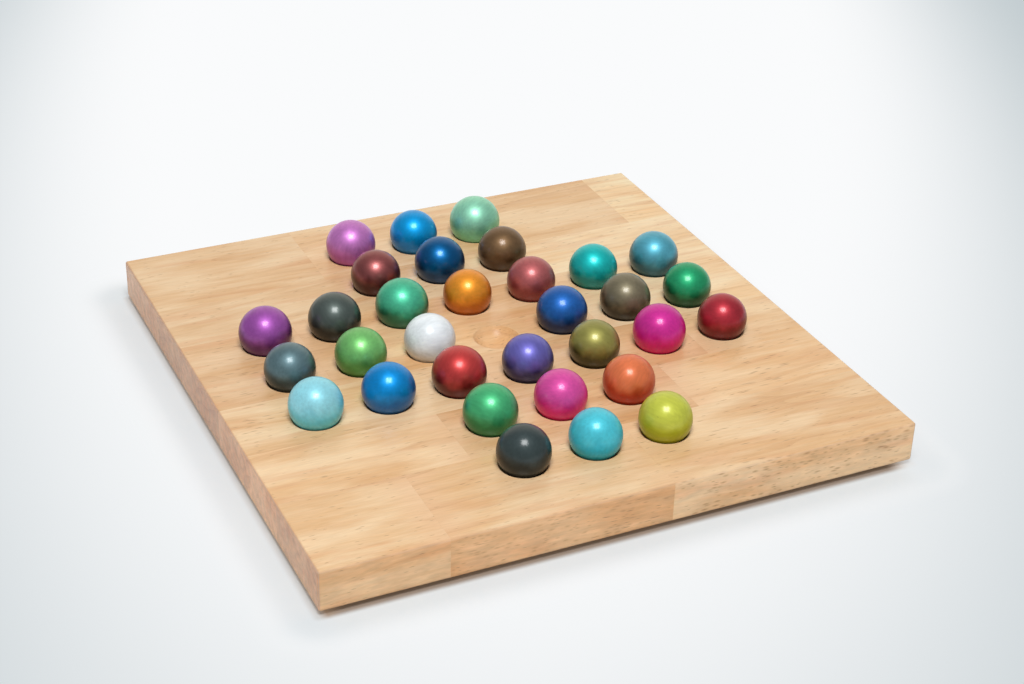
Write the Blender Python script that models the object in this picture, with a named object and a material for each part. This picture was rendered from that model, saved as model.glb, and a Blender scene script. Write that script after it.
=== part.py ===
"""Marble solitaire board: a square panel glued up from wooden staves, with
thirty-three dimples in the English cross layout, thirty-two painted balls and
four low rubber feet.

Metres, +Z up. The origin is on the table, under the middle of the board. The
grain and the long glue joints run along X, and the front edge is the one at -Y.
"""

import math
from typing import NamedTuple

import bmesh
import bpy
from mathutils import Matrix, Vector

MM = 0.001

# Board
PITCH = 35 * MM               # between the middles of neighbouring dimples
EDGE_MARGIN = 39 * MM         # from the middle of an outermost dimple to the board's edge
BOARD_THICKNESS = 20 * MM
EDGE_RADIUS = 1.2 * MM        # rounding of all outer edges and corners
GLUE_LINE = 0.3 * MM          # space left between two staves

# Balls and their dimples
BALL_DIAMETER = 25 * MM       # nominal: each ball is a share of it
DIMPLE_DEPTH = 6 * MM
DIMPLE_CLEARANCE = 0.25 * MM  # dimple's radius over that of the largest ball
SEAT_CLEARANCE = 0.3 * MM     # under each ball, at the bottom of its dimple

# Feet
FOOT_HEIGHT = 2 * MM          # from the table to the board's underside
FOOT_DIAMETER = 14 * MM
FOOT_INSET = 36 * MM          # from the board's edges to a foot's middle
FOOT_EDGE = 0.5 * MM          # bevel of a foot's lower rim

# The one place of the cross, as a column and a row, that starts the game with no ball
EMPTY_PLACE = (0, 0)

# Faceting
EDGE_SEGMENTS = 3
ARC_SHARE = 0.5               # a bevel profile that is a true arc
DIMPLE_SEGMENTS = 20
DIMPLE_RINGS = 11
BALL_SUBDIVISIONS = 3
FOOT_SEGMENTS = 24
FOOT_EDGE_SEGMENTS = 1
SHARP_ANGLE = math.radians(40)  # edges that bend more than this stay sharp

# How far a cutting shape runs past what it cuts
OVERRUN = 5 * MM


class Row(NamedTuple):
    """One row of staves, which runs from the board's left edge to its right edge."""

    name: str
    joint_shares: tuple       # its end joints from left to right, in pitches from the centre
    tones: tuple              # a wood tone for each stave from left to right


class Ball(NamedTuple):
    """One ball: its place in the cross, its size and its paint."""

    name: str
    column: int
    row: int
    size_share: float         # of the nominal diameter
    colour: str


# No joint passes through a dimple: each one lies in the plain wood between two
# rows or columns of the cross.
LONG_JOINT_SHARES = (-2.66, -1.52, -0.38, 1.36, 2.44)  # from front to back, in pitches from the centre
ROWS = (
    Row("front", (-2.46, 0.54), ("honey", "amber", "pale")),
    Row("second", (-1.55, 1.7), ("tan", "honey", "pale")),
    Row("third", (-0.5, 2.5), ("honey", "tan", "honey")),
    Row("fourth", (-2.5, 1.5), ("pale", "honey", "tan")),
    Row("fifth", (0.5,), ("honey", "pale")),
    Row("back", (-1.6, 3.37), ("pale", "tan", "honey")),
)
STAVE_NAMES = {2: ("left", "right"), 3: ("left", "middle", "right")}

WOOD_TONES = {
    "pale": "#E6C69C",
    "honey": "#E0B98A",
    "tan": "#D9AF80",
    "amber": "#D8A672",
}

BALLS = (
    Ball("ball_charcoal", -1, -3, 0.98, "#3C4648"),
    Ball("ball_turquoise", 0, -3, 0.97, "#35B9C6"),
    Ball("ball_lime", 1, -3, 0.98, "#B8BC3C"),
    Ball("ball_green", -1, -2, 1.01, "#379558"),
    Ball("ball_magenta", 0, -2, 0.99, "#C83390"),
    Ball("ball_coral", 1, -2, 0.98, "#CC6040"),
    Ball("ball_aqua", -3, -1, 1.01, "#86CCD6"),
    Ball("ball_azure", -2, -1, 1.00, "#0878B4"),
    Ball("ball_dark_red", -1, -1, 1.03, "#98302E"),
    Ball("ball_violet", 0, -1, 0.98, "#584E90"),
    Ball("ball_olive", 1, -1, 0.98, "#7C6E3A"),
    Ball("ball_fuchsia", 2, -1, 1.03, "#C0267E"),
    Ball("ball_crimson", 3, -1, 0.97, "#942A32"),
    Ball("ball_slate", -3, 0, 0.97, "#506870"),
    Ball("ball_leaf", -2, 0, 0.99, "#559650"),
    Ball("ball_white", -1, 0, 0.99, "#D6DADC"),
    Ball("ball_royal_blue", 1, 0, 1.01, "#234C88"),
    Ball("ball_taupe", 2, 0, 1.01, "#685644"),
    Ball("ball_forest", 3, 0, 0.97, "#227A50"),
    Ball("ball_purple", -3, 1, 1.02, "#8A4592"),
    Ball("ball_graphite", -2, 1, 1.03, "#3C4646"),
    Ball("ball_emerald", -1, 1, 1.05, "#349A72"),
    Ball("ball_orange", 0, 1, 0.97, "#CC7026"),
    Ball("ball_rose", 1, 1, 0.98, "#88443F"),
    Ball("ball_teal", 2, 1, 0.99, "#0C8A88"),
    Ball("ball_steel_blue", 3, 1, 1.01, "#457E8C"),
    Ball("ball_maroon", -1, 2, 1.00, "#5A302C"),
    Ball("ball_navy", 0, 2, 1.03, "#123A5A"),
    Ball("ball_brown", 1, 2, 1.00, "#583E28"),
    Ball("ball_orchid", -1, 3, 1.02, "#A0549A"),
    Ball("ball_sky", 0, 3, 0.99, "#0A74B0"),
    Ball("ball_mint", 1, 3, 1.06, "#66A886"),
)

RUBBER_COLOUR = "#3A3836"

WOOD_ROUGHNESS = 0.5
PAINT_ROUGHNESS = 0.3
RUBBER_ROUGHNESS = 0.8

BOARD_SIDE = 2 * (max(ball.column for ball in BALLS) * PITCH + EDGE_MARGIN)
BOARD_TOP = FOOT_HEIGHT + BOARD_THICKNESS
DIMPLE_RADIUS = BALL_DIAMETER / 2 * max(ball.size_share for ball in BALLS) + DIMPLE_CLEARANCE


def clear_scene():
    """Remove every object, so that the model starts from nothing."""
    for old in list(bpy.data.objects):
        bpy.data.objects.remove(old, do_unlink=True)


def linear(channel):
    """One sRGB channel, from 0 to 1, as linear light."""
    if channel <= 0.04045:
        return channel / 12.92
    return ((channel + 0.055) / 1.055) ** 2.4


def finish(part, colour, roughness):
    """Give a part a material of its own, from an sRGB hex colour."""
    levels = [int(colour[i:i + 2], 16) / 255 for i in (1, 3, 5)]
    material = bpy.data.materials.new(part.name + "_finish")
    material.use_nodes = True
    shader = material.node_tree.nodes["Principled BSDF"]
    shader.inputs["Base Color"].default_value = (*[linear(level) for level in levels], 1)
    shader.inputs["Roughness"].default_value = roughness
    shader.inputs["Metallic"].default_value = 0
    part.data.materials.append(material)


def add_object(name, shape):
    """Put a bmesh into the scene as a named object."""
    mesh = bpy.data.meshes.new(name)
    shape.to_mesh(mesh)
    shape.free()
    part = bpy.data.objects.new(name, mesh)
    bpy.context.scene.collection.objects.link(part)
    return part


def as_guide(part):
    """Mark an object as a cutting shape, which is no piece of the board."""
    part.hide_render = True
    part.display_type = "WIRE"
    return part


def combine(part, other, operation):
    """Cut, keep or join a part with a closed shape."""
    step = part.modifiers.new(operation.lower(), "BOOLEAN")
    step.operation = operation
    step.solver = "EXACT"
    step.object = other


def block(size):
    """A closed block around its own middle, as a bmesh."""
    shape = bmesh.new()
    bmesh.ops.create_cube(shape, size=1, matrix=Matrix.Diagonal((*size, 1)))
    return shape


def make_dimple_cutter():
    """A sphere for the empty place and for each ball's, whose lowest point is at the dimple's bottom."""
    shape = bmesh.new()
    height = BOARD_TOP - DIMPLE_DEPTH + DIMPLE_RADIUS
    for column, row in [EMPTY_PLACE] + [(ball.column, ball.row) for ball in BALLS]:
        place = Vector((column * PITCH, row * PITCH, height))
        bmesh.ops.create_uvsphere(
            shape,
            u_segments=DIMPLE_SEGMENTS,
            v_segments=DIMPLE_RINGS,
            radius=DIMPLE_RADIUS,
            matrix=Matrix.Translation(place),
        )
    return as_guide(add_object("dimple_cutter", shape))


def make_panel_guide(dimple_cutter):
    """The whole panel, rounded and dimpled, which the staves are cut from."""
    shape = block((BOARD_SIDE, BOARD_SIDE, BOARD_THICKNESS))
    bmesh.ops.bevel(
        shape,
        geom=list(shape.edges),
        offset=EDGE_RADIUS,
        segments=EDGE_SEGMENTS,
        profile=ARC_SHARE,
        affect="EDGES",
    )
    panel = as_guide(add_object("panel_guide", shape))
    panel.location.z = BOARD_TOP - BOARD_THICKNESS / 2
    combine(panel, dimple_cutter, "DIFFERENCE")
    return panel


def settle(part):
    """Keep a part's cut shape as its mesh, and shade its round faces smooth."""
    graph = bpy.context.evaluated_depsgraph_get()
    shape = bpy.data.meshes.new_from_object(part.evaluated_get(graph))
    part.modifiers.clear()
    part.data = shape
    shape.shade_smooth()
    shape.set_sharp_from_angle(angle=SHARP_ANGLE)
    normals = part.modifiers.new("flat_faces", "WEIGHTED_NORMAL")
    normals.keep_sharp = True


def spans(first, joint_shares, last):
    """Neighbouring stretches between two ends, with half a glue line taken off at each joint."""
    joints = [share * PITCH for share in joint_shares]
    starts = [first] + [joint + GLUE_LINE / 2 for joint in joints]
    stops = [joint - GLUE_LINE / 2 for joint in joints] + [last]
    return list(zip(starts, stops))


def make_staves(panel):
    """Every stave: its own stretch of the panel, between its glue joints."""
    outside = BOARD_SIDE / 2 + OVERRUN
    height = BOARD_THICKNESS + 2 * OVERRUN
    for row, (front, back) in zip(ROWS, spans(-outside, LONG_JOINT_SHARES, outside)):
        stretches = spans(-outside, row.joint_shares, outside)
        for side, tone, (left, right) in zip(STAVE_NAMES[len(stretches)], row.tones, stretches):
            stave = add_object("stave_" + row.name + "_" + side, block((right - left, back - front, height)))
            stave.location = ((left + right) / 2, (front + back) / 2, BOARD_TOP - BOARD_THICKNESS / 2)
            combine(stave, panel, "INTERSECT")
            settle(stave)
            finish(stave, WOOD_TONES[tone], WOOD_ROUGHNESS)


def make_ball(ball):
    """A ball at rest in its dimple. Its origin, the ball's middle, is on the line that it lifts along."""
    radius = BALL_DIAMETER / 2 * ball.size_share
    shape = bmesh.new()
    bmesh.ops.create_icosphere(shape, subdivisions=BALL_SUBDIVISIONS, radius=radius)
    part = add_object(ball.name, shape)
    height = BOARD_TOP - DIMPLE_DEPTH + SEAT_CLEARANCE + radius
    part.location = (ball.column * PITCH, ball.row * PITCH, height)
    part.data.shade_smooth()
    finish(part, ball.colour, PAINT_ROUGHNESS)


def make_foot(name, right, back):
    """A round rubber foot, stuck under one corner of the board."""
    shape = bmesh.new()
    bmesh.ops.create_cone(
        shape,
        cap_ends=True,
        segments=FOOT_SEGMENTS,
        radius1=FOOT_DIAMETER / 2,
        radius2=FOOT_DIAMETER / 2,
        depth=FOOT_HEIGHT - GLUE_LINE,
    )
    rim = [edge for edge in shape.edges if all(vert.co.z < 0 for vert in edge.verts)]
    bmesh.ops.bevel(shape, geom=rim, offset=FOOT_EDGE, segments=FOOT_EDGE_SEGMENTS, affect="EDGES")
    foot = add_object(name, shape)
    reach = BOARD_SIDE / 2 - FOOT_INSET
    foot.location = (right * reach, back * reach, (FOOT_HEIGHT - GLUE_LINE) / 2)
    finish(foot, RUBBER_COLOUR, RUBBER_ROUGHNESS)


def main():
    """Build the board, put it on its feet, then set the balls in it."""
    clear_scene()
    make_staves(make_panel_guide(make_dimple_cutter()))
    for side, right in (("left", -1), ("right", 1)):
        make_foot("foot_front_" + side, right, -1)
        make_foot("foot_back_" + side, right, 1)
    for ball in BALLS:
        make_ball(ball)


main()
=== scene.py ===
"""Looks of the marble solitaire board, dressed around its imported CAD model.

The board is a panel glued up from rubberwood staves, sanded and satin lacquered, on four low rubber
feet. The thirty-two balls are turned wood under coloured lacquer. Metres and +Z up, as in the
frame: the grain and the long glue joints run along X, and the board's front edge is the one at -Y.
"""

import logging
import math
import random
from dataclasses import dataclass, field, replace
from enum import Enum
from typing import Union

import bmesh
import bpy
from mathutils import Euler, Matrix, Vector, noise


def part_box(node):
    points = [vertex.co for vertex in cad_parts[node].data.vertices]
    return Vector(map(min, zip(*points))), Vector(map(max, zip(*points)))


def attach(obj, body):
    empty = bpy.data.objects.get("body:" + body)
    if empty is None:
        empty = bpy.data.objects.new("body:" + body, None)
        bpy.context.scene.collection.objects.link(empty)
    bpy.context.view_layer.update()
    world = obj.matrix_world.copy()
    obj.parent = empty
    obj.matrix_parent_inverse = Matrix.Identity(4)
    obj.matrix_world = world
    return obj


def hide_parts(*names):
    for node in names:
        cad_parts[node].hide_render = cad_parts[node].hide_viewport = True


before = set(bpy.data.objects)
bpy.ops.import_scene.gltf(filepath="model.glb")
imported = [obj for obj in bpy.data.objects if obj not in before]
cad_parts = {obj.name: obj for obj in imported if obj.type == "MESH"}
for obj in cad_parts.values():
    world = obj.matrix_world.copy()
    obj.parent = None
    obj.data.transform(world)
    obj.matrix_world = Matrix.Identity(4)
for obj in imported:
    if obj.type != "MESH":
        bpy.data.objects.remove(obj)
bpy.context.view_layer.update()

Pair = tuple[float, float]
Triple = tuple[float, float, float]
Tree = bpy.types.NodeTree
Node = bpy.types.Node
Source = Union[bpy.types.Node, bpy.types.NodeSocket]   # what can feed a node's input

MM = 0.001

# Inputs of the Mix node, when it mixes colours, and the two ends of the Map Range node's ranges
MIX_FACTOR, MIX_A, MIX_B = 0, 6, 7
FROM = ("From Min", "From Max")
TO = ("To Min", "To Max")

log = logging.getLogger("solitaire_board")


def linear_rgba(colour: str) -> tuple[float, float, float, float]:
    """Turn an sRGB hex colour into linear light.

    Args:
        colour: The colour as #RRGGBB.

    Returns:
        Red, green, blue and an alpha of 1.
    """
    levels = [int(colour[start:start + 2], 16) / 255 for start in (1, 3, 5)]
    lit = [level / 12.92 if level <= 0.04045 else ((level + 0.055) / 1.055) ** 2.4
           for level in levels]
    return lit[0], lit[1], lit[2], 1.0


def add_node(tree: Tree, kind: str, inputs: dict | None = None, **settings: object) -> Node:
    """Add a node with its settings, and give its inputs their values or links.

    Args:
        tree: The node tree that the node goes into.
        kind: Blender's name of the kind of node, without its "ShaderNode".
        inputs: For each input, by name or number, a value, the output that feeds it, or the node
            whose first output in use feeds it. A tuple of inputs takes as many values.
        settings: The node's own properties.

    Returns:
        The new node.
    """
    node = tree.nodes.new("ShaderNode" + kind)
    for name, value in settings.items():
        setattr(node, name, value)
    for keys, values in (inputs or {}).items():
        for key, value in zip(keys, values) if isinstance(keys, tuple) else ((keys, values),):
            if isinstance(value, Node):
                value = next(output for output in value.outputs if output.enabled)
            if isinstance(value, bpy.types.NodeSocket):
                tree.links.new(value, node.inputs[key])
            else:
                node.inputs[key].default_value = value
    return node


def empty_material(name: str) -> bpy.types.Material:
    """Make a material with an empty node tree.

    Args:
        name: The material's name.

    Returns:
        The new material.
    """
    material = bpy.data.materials.new(name)
    material.use_nodes = True
    material.node_tree.nodes.clear()
    return material


def rays_to_camera(tree: Tree) -> tuple[Source, Source]:
    """Tell the rays by which the camera sees a surface from those that light other things.

    Args:
        tree: The nodes of the surface or of the world.

    Returns:
        Two shares that are 1 or 0: for the camera's own rays alone, and for these and the rays by
        which it sees the surface in gloss or through glass.
    """
    ray = add_node(tree, "LightPath")
    straight = ray.outputs["Is Camera Ray"]
    mirrored = add_node(tree, "Math", {
        0: straight, 1: ray.outputs["Is Glossy Ray"]}, operation="MAXIMUM")
    return straight, add_node(tree, "Math", {
        0: mirrored, 1: ray.outputs["Is Transmission Ray"]}, operation="MAXIMUM")


def add_object(name: str, shape: bmesh.types.BMesh) -> bpy.types.Object:
    """Put a bmesh into the scene as a named object.

    Args:
        name: The object's name.
        shape: The mesh, which is freed.

    Returns:
        The new object.
    """
    bmesh.ops.recalc_face_normals(shape, faces=shape.faces)
    mesh = bpy.data.meshes.new(name)
    shape.to_mesh(mesh)
    shape.free()
    made = bpy.data.objects.new(name, mesh)
    bpy.context.scene.collection.objects.link(made)
    return made


def turned_shape(outline: list[Pair], steps: int, places: list[Pair]) -> bmesh.types.BMesh:
    """Turn an outline about an upright axis at several places, as closed bodies in one mesh.

    Args:
        outline: Radius and height from the lowest ring to the highest. A first or last radius of 0
            is a tip, and another one is closed with a flat face.
        steps: Corners of each ring.
        places: Where the axes stand.

    Returns:
        The mesh.
    """
    shape = bmesh.new()
    turns = [2 * math.pi * step / steps for step in range(steps)]
    for x, y in places:
        rings = []
        for radius, height in outline:
            corners = turns if radius else turns[:1]
            rings.append([
                shape.verts.new((x + radius * math.cos(turn), y + radius * math.sin(turn), height))
                for turn in corners])
        for lower, upper in zip(rings, rings[1:]):
            for step in range(steps):
                after = (step + 1) % steps
                corners = [lower[step % len(lower)], lower[after % len(lower)],
                           upper[after % len(upper)], upper[step % len(upper)]]
                shape.faces.new(list(dict.fromkeys(corners)))
        for ring in (rings[0], rings[-1]):
            if len(ring) > 1:
                shape.faces.new(ring)
    return shape


def box_middle(node: str) -> Vector:
    """Give the middle of a CAD node's box."""
    lowest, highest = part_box(node)
    return (lowest + highest) / 2


def heading_way(heading: float, height: float) -> Vector:
    """Give the direction of a heading.

    Args:
        heading: Degrees from +Y towards +X.
        height: Degrees above level.

    Returns:
        A vector that is one long.
    """
    turn, rise = math.radians(heading), math.radians(height)
    return Vector((math.sin(turn) * math.cos(rise), math.cos(turn) * math.cos(rise),
                   math.sin(rise)))


class WoodTone(Enum):
    """The tones that staves are sorted into: pale wood, darker bands and reddish ring lines."""

    PALE = ("#FBE0B9", "#ECC08C", "#CB9566")
    HONEY = ("#F8D8AE", "#E5B47E", "#C68B59")
    TAN = ("#F4D0A6", "#E0AD77", "#BF8355")
    AMBER = ("#F1CCA0", "#DBA66E", "#B97B4B")


class Sawing(Enum):
    """How a stave lay in the log: millimetres sideways and down from its middle to the log's."""

    FLAT = (6.0, 34.0)
    RIFT = (38.0, 40.0)
    QUARTER = (60.0, 8.0)


@dataclass(frozen=True)
class Stave:
    """One stave of the panel and how its wood looks: its CAD node is "stave_" and this name."""

    name: str
    tone: WoodTone           # on the board's long edges, and what it was sorted by
    face_tone: WoodTone      # on its planed faces, which lie in another ring
    sawing: Sawing
    pores: float             # how much of the faces has open pores
    flecks: float            # how strongly the pores show as flecks on the long edges
    end_shade: float         # lightness of the end grain
    side_shade: float = 1.0  # lightness of the long edges, partly painted light
    face_shade: float = 1.0  # lightness of the faces, raised as painted sheen on the back right staves
    matched: float = 0.6     # how well its tone was matched where it meets a stave end to end


PALE, HONEY, TAN, AMBER = WoodTone
FLAT, RIFT, QUARTER = Sawing

# Row by row from the front, each from left to right
STAVES = (
    Stave("front_left", HONEY, HONEY, FLAT, 0.2, 0.1, 0.96, 1.00, 0.98),
    Stave("front_middle", AMBER, HONEY, RIFT, 0.4, 0.4, 1.0, 1.05, 0.98),
    Stave("front_right", PALE, HONEY, FLAT, 0.8, 0.62, 0.97, 1.02, 0.96),
    Stave("second_left", TAN, HONEY, FLAT, 0.5, 0.3, 1.08, 1.00, 1.02),
    Stave("second_middle", HONEY, AMBER, RIFT, 0.6, 0.3, 1.0, 1.00, 0.97, 0.5),
    Stave("second_right", PALE, HONEY, FLAT, 1.0, 0.3, 1.05, 1.00, 1.02),
    Stave("third_left", HONEY, HONEY, RIFT, 1.0, 0.3, 1.05, 1.00, 0.98),
    Stave("third_middle", TAN, TAN, FLAT, 0.7, 0.3, 1.0),
    Stave("third_right", HONEY, HONEY, RIFT, 0.6, 0.3, 0.95),
    Stave("fourth_left", PALE, TAN, RIFT, 0.9, 0.3, 0.95, 1.00, 0.96),
    Stave("fourth_middle", HONEY, AMBER, FLAT, 0.5, 0.3, 1.0, 1.00, 1.03),
    # The right staves of the back three rows have pale, lightened faces: painted sheen of the
    # bright screen
    Stave("fourth_right", TAN, PALE, RIFT, 0.5, 0.3, 1.03, 1.00, 1.06),
    Stave("fifth_left", HONEY, HONEY, FLAT, 0.5, 0.3, 0.95, 1.00, 0.94),
    Stave("fifth_right", PALE, PALE, QUARTER, 0.3, 0.3, 1.0, 1.00, 1.06),
    Stave("back_left", PALE, HONEY, RIFT, 0.3, 0.3, 1.02, 1.00, 0.96, 0.0),
    Stave("back_middle", TAN, HONEY, FLAT, 0.3, 0.3, 1.0, 1.00, 1.00, 0.0),
    Stave("back_right", HONEY, PALE, QUARTER, 0.2, 0.3, 1.0, 1.00, 1.14, 0.0),
)


@dataclass(frozen=True)
class Pattern:
    """A soft pattern in the wood, drawn by a noise that is stretched along the grain."""

    length_mm: float        # of a cell, along the grain
    width_mm: float         # of a cell, across the grain
    detail: float = 2.0
    roughness: float = 0.5
    noise_range: Pair = (0.3, 0.7)   # from none of the pattern to all of it


@dataclass(frozen=True)
class Grain:
    """What the patterns in one stave's wood are laid out by, in its material's nodes."""

    tree: Tree
    offset: Vector       # shifts the patterns, so that no two staves match
    in_log: Source       # the place in the log in millimetres: along it, then from its middle
    on_fibres: Source    # the same, along the bent fibres
    side_share: Source   # how much of a long edge the place is
    end_share: Source    # how much of an end the place is


@dataclass(frozen=True)
class SatinRubberwood:
    """Rubberwood, planed, sanded and sprayed with two thin coats of satin lacquer.

    To the eye: a warm tan body with soft wavy streaks, flushes of pinker wood, faint ring lines
    that curve where the saw ran out of the ring, and short dark dashes where it opened the pores.
    The lacquer film is thin, so it dips into the pores and gives a broad soft sheen. The grain is
    one solid pattern, so faces, rounded edges and dimples cut through it as a tool does, and the
    end grain is darker, with dots and arcs.
    """

    stave: Stave
    seed: int
    middle: Triple                      # of the stave
    edge_reach_mm: float                # from the board's middle to its edges
    end_joints: Pair                    # X of the stave's ends that meet another stave's

    # How the stave lay in its log
    tilt: Pair = (2.2, 1.6)             # the most that the saw strayed from the grain, in degrees
    log_shift_mm: Pair = (5.0, 6.0)     # the most that the log's middle strayed, sideways and down
    pattern_shift: float = 500.0        # the most that the patterns are shifted, in cells

    # Rings, streaks and fibres
    ring_mm: float = 5.2                # spacing of the yearly rings
    ring_line_power: float = 5.0        # how thin the line at the end of a ring is
    ring_line_strength: Pair = (0.3, 0.6)    # on the faces and on the end grain
    bands: Pattern = Pattern(math.inf, 8.5, 2.5, 0.6, (0.34, 0.66))   # of several rings
    wander: Pattern = Pattern(150.0, 30.0)
    wander_mm: float = 9.0              # how far the rings stray from round
    waves: Pattern = Pattern(42.0, 12.0, 1.0)
    wave_mm: float = 2.2                # how far streaks and pores stray from straight
    blotches: Pattern = Pattern(64.0, 17.0, noise_range=(0.36, 0.64))
    streaks: Pattern = Pattern(25.0, 2.3, 3.0, 0.7)
    fibres: Pattern = Pattern(9.0, 0.7, 2.0, 0.6)    # finer in life: drawn coarse so that they show
    fibre_shade: Pair = (1.04, 0.95)
    band_weight: float = 0.13           # of the bands in the tone, where the streaks weigh 1
    blotch_weight: float = 0.62
    tone_range: Pair = (0.35, 1.45)     # of the sum, from the pale colour to the dark one
    flushes: Pattern = Pattern(52.0, 7.0, noise_range=(0.52, 0.7))
    flush_strength: float = 0.36
    flush_colour: str = "#DFA474"
    matched_colour: str = "#EDC196"     # what the tones are drawn towards at the end joints
    matched_reach: float = 18.0 * MM

    # Pores: dashes on the faces and flecks on the long edges
    pore_mm: Pair = (11.0, 1.15)        # half as wide in life: drawn coarse so that they show
    pore_clusters: Pattern = Pattern(46.0, 9.0, noise_range=(0.46, 0.64))
    pore_radius: Pair = (0.14, 0.18)    # in cells, outside the clusters and in them
    pore_growth: float = 0.18           # of the second, where the stave has many pores
    pore_core: float = 0.05             # in cells: evenly dark
    pore_strength: float = 0.6
    pore_colour: str = "#93623C"
    fleck_mm: Pair = (5.2, 1.5)
    fleck_clusters: Pattern = Pattern(16.0, 6.0, noise_range=(0.42, 0.64))
    fleck_radius: Pair = (0.3, 0.52)    # in cells, outside the clusters and in them
    fleck_colour: str = "#A8703A"

    # Edges and roundings
    edge_start_mm: float = 1.0          # from the board's edge: where the rounding turns into it
    edge_full_mm: float = 1.0 / 6       # where the colour is all the edge's
    mottles: Pattern = Pattern(13.0, 3.6, 2.0, 0.6)
    side_mottling: float = 0.11         # how much lighter and darker the mottles are
    end_mottling: float = 0.15
    side_colour: str = "#FFF4E9"        # over the long edges: partly lacquer they soaked up, partly painted light warming them
    end_grain_colour: str = "#FBDCC5"   # laid over the wood where the fibres end
    rounding_sheen_colour: str = "#CDB5A3"      # a pale colour painted on the roundings as the sheen they catch
    rounding_sheen_side_share: float = 0.3
    rounding_sheen_end_share: float = 0.65
    sheen_slope: float = 0.4             # upward part of the normal where a rounding has all of the painted sheen

    # Lacquer
    fleck_relief: float = 0.3           # of the flecks in the film's dips, where the pores count 1
    fibre_relief: float = 0.34
    film_bump: float = 0.018 * MM
    film_strength: float = 0.6
    roughness: Pair = (0.42, 0.58)      # between the streaks and on them
    specular: float = 0.1               # of the wood under the film
    coat: float = 0.8
    coat_roughness: float = 0.27
    cut_across: float = 3.2             # how much matter the film is on steep cuts, which drank it

    def make(self) -> bpy.types.Material:
        """Build the material.

        Returns:
            The material.
        """
        material = empty_material("sanded_lacquered_rubberwood_" + self.stave.name)
        tree = material.node_tree
        place = add_node(tree, "TexCoord")
        on_board = add_node(tree, "SeparateXYZ", {0: place.outputs["Object"]})
        grain = self._lay_out(tree, place.outputs["Object"], on_board)
        streak, fibre = [self._noise(grain, grain.on_fibres, pattern, grain.offset)
                         for pattern in (self.streaks, self.fibres)]
        blotch = self._patches(grain, grain.in_log, self.blotches, grain.offset)
        ring_line, band = self._rings(grain)
        pore, fleck = self._pores(grain)
        body = self._body_colour(grain, band, blotch, streak)
        matched = self._matched_ends(grain, body, on_board.outputs["X"])
        marked = self._marked_colour(grain, matched, ring_line, blotch, fibre, pore, fleck)

        # Lacquer film: it dips over pores and fibres, and is a little duller over the streaks
        opened = add_node(tree, "Math", {
            0: fleck, 1: self.fleck_relief, 2: pore}, operation="MULTIPLY_ADD")
        relief = add_node(tree, "Math", {
            0: fibre, 1: self.fibre_relief, 2: opened}, operation="MULTIPLY_ADD")
        film = add_node(tree, "Bump", {
            "Height": relief, "Distance": self.film_bump, "Strength": self.film_strength},
            invert=True)
        upward = add_node(tree, "SeparateXYZ", {0: place.outputs["Normal"]}).outputs["Z"]
        steepness = add_node(tree, "Math", {0: 1.0, 1: upward}, operation="SUBTRACT")
        cut = add_node(tree, "Math", {0: steepness, 1: upward}, operation="MULTIPLY")
        surface = add_node(tree, "BsdfPrincipled", {
            "Base Color": self._edge_colour(grain, marked, upward),
            "Roughness": add_node(tree, "MapRange", {"Value": streak, TO: self.roughness}),
            "Specular IOR Level": self.specular,
            "Coat Weight": add_node(tree, "Math", {
                0: cut, 1: -self.cut_across * self.coat, 2: self.coat},
                operation="MULTIPLY_ADD", use_clamp=True),
            "Coat Roughness": self.coat_roughness,
            "Normal": film,
            "Coat Normal": film,
        })
        add_node(tree, "OutputMaterial", {"Surface": surface})
        return material

    def _lay_out(self, tree: Tree, place: Source, on_board: Node) -> Grain:
        """Turn a place on the board into a place in the log, and find the board's edges and ends.

        Args:
            tree: The material's nodes.
            place: The place on the board, in metres.
            on_board: The same, split into X, Y and Z.

        Returns:
            What the patterns are laid out by.
        """
        draw = random.Random(self.seed)
        side, depth = self.stave.sawing.value
        side *= draw.choice((-1, 1))
        tilt = (0.0, *[math.radians(draw.uniform(-most, most)) for most in self.tilt])
        pith = Vector([axis / MM for axis in self.middle])
        shift = [draw.uniform(-most, most) for most in self.log_shift_mm]
        pith.y += side + shift[0]
        pith.z -= depth + shift[1]
        offset = Vector([draw.uniform(-self.pattern_shift, self.pattern_shift) for _ in range(3)])
        in_log = add_node(tree, "Mapping", {
            "Vector": place,
            "Location": -(Euler(tilt).to_matrix() @ pith),
            "Rotation": tilt,
            "Scale": (1 / MM, 1 / MM, 1 / MM),
        })
        side_share, end_share = [
            add_node(tree, "MapRange", {
                "Value": add_node(tree, "Math", {0: on_board.outputs[axis]}, operation="ABSOLUTE"),
                "From Min": (self.edge_reach_mm - self.edge_start_mm) * MM,
                "From Max": (self.edge_reach_mm - self.edge_full_mm) * MM,
            }, interpolation_type="SMOOTHSTEP")
            for axis in ("Y", "X")]
        straight = Grain(tree, offset, in_log, in_log, side_share, end_share)
        return replace(straight, on_fibres=self._strayed(straight, self.waves, self.wave_mm))

    def _rings(self, grain: Grain) -> tuple[Source, Source]:
        """Draw the yearly rings round the log's middle.

        Args:
            grain: What the patterns are laid out by.

        Returns:
            The thin line at the end of each ring, and the soft bands of several rings.
        """
        tree = grain.tree
        across = add_node(tree, "VectorMath", {
            0: self._strayed(grain, self.wander, self.wander_mm), 1: (0.0, 1.0, 1.0)},
            operation="MULTIPLY")
        radius = add_node(tree, "VectorMath", {0: across}, operation="LENGTH")
        ring, band_place = [
            add_node(tree, "Math", {0: radius, 1: 1 / width}, operation="MULTIPLY")
            for width in (self.ring_mm, self.bands.width_mm)]
        phase = add_node(tree, "Math", {0: ring}, operation="FRACT")
        line = add_node(tree, "Math", {0: phase, 1: self.ring_line_power}, operation="POWER")
        cloud = add_node(tree, "TexNoise", {
            "W": band_place, "Scale": 1.0, "Detail": self.bands.detail,
            "Roughness": self.bands.roughness}, noise_dimensions="1D")
        return line, add_node(tree, "MapRange", {
            "Value": cloud, FROM: self.bands.noise_range}, interpolation_type="SMOOTHSTEP")

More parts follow.
